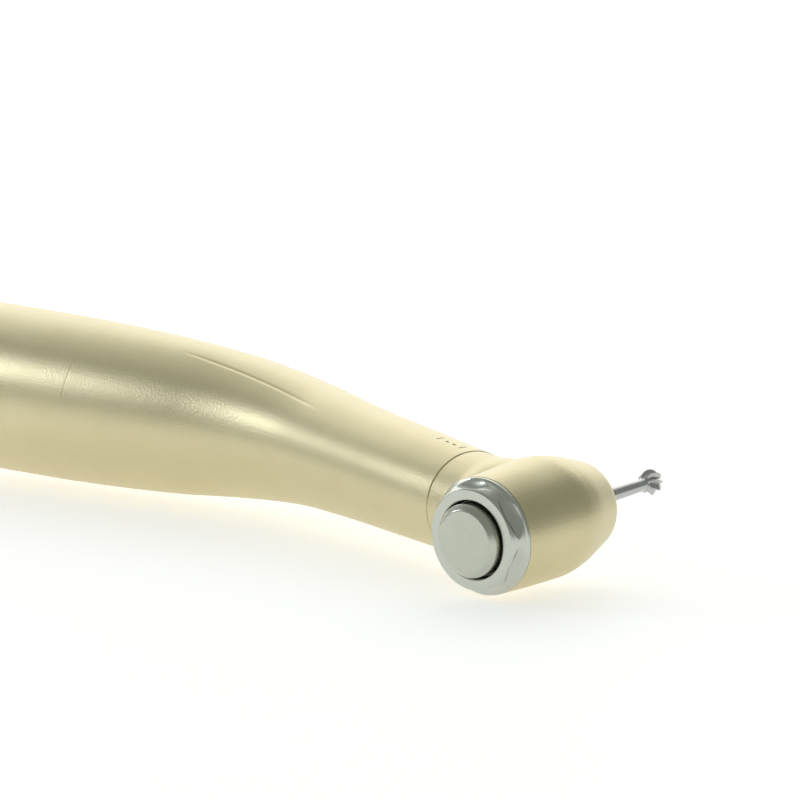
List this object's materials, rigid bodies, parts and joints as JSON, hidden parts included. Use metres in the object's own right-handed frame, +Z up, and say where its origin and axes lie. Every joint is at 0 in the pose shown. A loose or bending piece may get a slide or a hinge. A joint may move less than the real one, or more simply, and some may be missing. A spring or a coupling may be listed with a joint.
{
  "type": "high speed dental handpiece",
  "caption": "Push-button contra-angle dental handpiece with a bent champagne metal body, geared speed-increasing drive and a round bur.",
  "frame": {"origin": "centre of the motor socket's mouth at the rear end", "axes": "+X along the handle's axis towards the head, -Y the push button's side, +Y the bur's side, +Z up; the handle, neck and head axes lie in Z = 0"},
  "size_m": [0.1028, 0.0333, 0.0196],
  "materials": {
    "champagne_coating": "satin, bead-blasted champagne coating",
    "satin_steel": "fine satin",
    "red_ring": "satin",
    "machined_steel": "turned",
    "seal_rubber": "matt",
    "bur_steel": "ground",
    "bearing_steel": "polished",
    "pipe_steel": "drawn",
    "spring_steel": "drawn",
    "gear_steel": "ground"
  },
  "bodies": {
    "housing": {"head_housing": "champagne_coating", "head_cap": "satin_steel", "neck_sleeve": "champagne_coating", "rear_sleeve": "champagne_coating", "colour_ring": "red_ring", "socket_liner": "machined_steel", "neck_tube": "machined_steel", "bearing_carrier": "machined_steel", "front_damping_ring": "seal_rubber", "rear_damping_ring": "seal_rubber", "spindle_front_outer_race": "bearing_steel", "spindle_rear_outer_race": "bearing_steel", "mid_front_outer_race": "bearing_steel", "mid_rear_outer_race": "bearing_steel", "input_front_outer_race": "bearing_steel", "input_rear_outer_race": "bearing_steel", "water_pipe": "pipe_steel", "air_pipe": "pipe_steel", "button_spring": "spring_steel"},
    "button": {"push_button": "satin_steel"},
    "input_shaft": {"input_shaft": "gear_steel", "drive_cup": "gear_steel", "ring_gear": "gear_steel", "input_front_inner_race": "bearing_steel", "input_rear_inner_race": "bearing_steel", "dog_spring": "spring_steel"},
    "drive_dog": {"drive_dog": "gear_steel"},
    "mid_shaft": {"mid_shaft": "gear_steel", "front_gear": "gear_steel", "rear_pinion": "gear_steel", "mid_front_inner_race": "bearing_steel", "mid_rear_inner_race": "bearing_steel"},
    "spindle": {"spindle": "gear_steel", "collet": "gear_steel", "spindle_front_inner_race": "bearing_steel", "spindle_rear_inner_race": "bearing_steel", "chuck_spring": "spring_steel"},
    "release_pin": {"release_pin": "gear_steel"},
    "bur": {"bur": "bur_steel"},
    "input_front_balls": {"input_front_ball_cage": "bearing_steel"},
    "input_rear_balls": {"input_rear_ball_cage": "bearing_steel"},
    "mid_front_balls": {"mid_front_ball_cage": "bearing_steel"},
    "mid_rear_balls": {"mid_rear_ball_cage": "bearing_steel"},
    "spindle_front_balls": {"spindle_front_ball_cage": "bearing_steel"},
    "spindle_rear_balls": {"spindle_rear_ball_cage": "bearing_steel"}
  },
  "joints": [
    {"name": "button_press", "type": "slide", "parent": "housing", "child": "button", "axis": [0, 1, 0], "range_m": [0, 0.0007], "stiffness_N_per_m": 4000, "springref_m": -0.0006, "deforming": ["button_spring"]},
    {"name": "input_spin", "type": "hinge", "parent": "housing", "child": "input_shaft", "pos_m": [0, 0, 0], "axis": [1, 0, 0], "continuous": true},
    {"name": "dog_slide", "type": "slide", "parent": "input_shaft", "child": "drive_dog", "axis": [1, 0, 0], "range_m": [0, 0.002], "stiffness_N_per_m": 400, "springref_m": -0.001, "deforming": ["dog_spring"]},
    {"name": "mid_spin", "type": "hinge", "parent": "housing", "child": "mid_shaft", "pos_m": [0.097, -0.0148, 0], "axis": [0.9483, -0.3173, 0], "continuous": true},
    {"name": "spindle_spin", "type": "hinge", "parent": "housing", "child": "spindle", "pos_m": [0.097, -0.0148, 0], "axis": [0, 1, 0], "continuous": true},
    {"name": "chuck_release", "type": "slide", "parent": "spindle", "child": "release_pin", "axis": [0, 1, 0], "range_m": [0, 0.00045], "stiffness_N_per_m": 3000, "springref_m": -0.0003, "deforming": ["chuck_spring"]},
    {"name": "bur_withdraw", "type": "slide", "parent": "spindle", "child": "bur", "axis": [0, 1, 0], "range_m": [0, 0.02]},
    {"name": "input_front_ball_spin", "type": "hinge", "parent": "housing", "child": "input_front_balls", "pos_m": [0, 0, 0], "axis": [1, 0, 0], "continuous": true},
    {"name": "input_rear_ball_spin", "type": "hinge", "parent": "housing", "child": "input_rear_balls", "pos_m": [0, 0, 0], "axis": [1, 0, 0], "continuous": true},
    {"name": "mid_front_ball_spin", "type": "hinge", "parent": "housing", "child": "mid_front_balls", "pos_m": [0.097, -0.0148, 0], "axis": [0.9483, -0.3173, 0], "continuous": true},
    {"name": "mid_rear_ball_spin", "type": "hinge", "parent": "housing", "child": "mid_rear_balls", "pos_m": [0.097, -0.0148, 0], "axis": [0.9483, -0.3173, 0], "continuous": true},
    {"name": "spindle_front_ball_spin", "type": "hinge", "parent": "housing", "child": "spindle_front_balls", "pos_m": [0.097, -0.0148, 0], "axis": [0, 1, 0], "continuous": true},
    {"name": "spindle_rear_ball_spin", "type": "hinge", "parent": "housing", "child": "spindle_rear_balls", "pos_m": [0.097, -0.0148, 0], "axis": [0, 1, 0], "continuous": true}
  ],
  "couplings": [
    {"joint": "mid_spin", "follows": "input_spin", "ratio": 2.5},
    {"joint": "spindle_spin", "follows": "input_spin", "ratio": 5},
    {"joint": "chuck_release", "follows": "button_press", "ratio": 0.64286},
    {"joint": "input_front_ball_spin", "follows": "input_spin", "ratio": 0.37692},
    {"joint": "input_rear_ball_spin", "follows": "input_spin", "ratio": 0.37692},
    {"joint": "mid_front_ball_spin", "follows": "input_spin", "ratio": 0.92647},
    {"joint": "mid_rear_ball_spin", "follows": "input_spin", "ratio": 0.92647},
    {"joint": "spindle_front_ball_spin", "follows": "input_spin", "ratio": 1.9751},
    {"joint": "spindle_rear_ball_spin", "follows": "input_spin", "ratio": 1.9751}
  ]
}
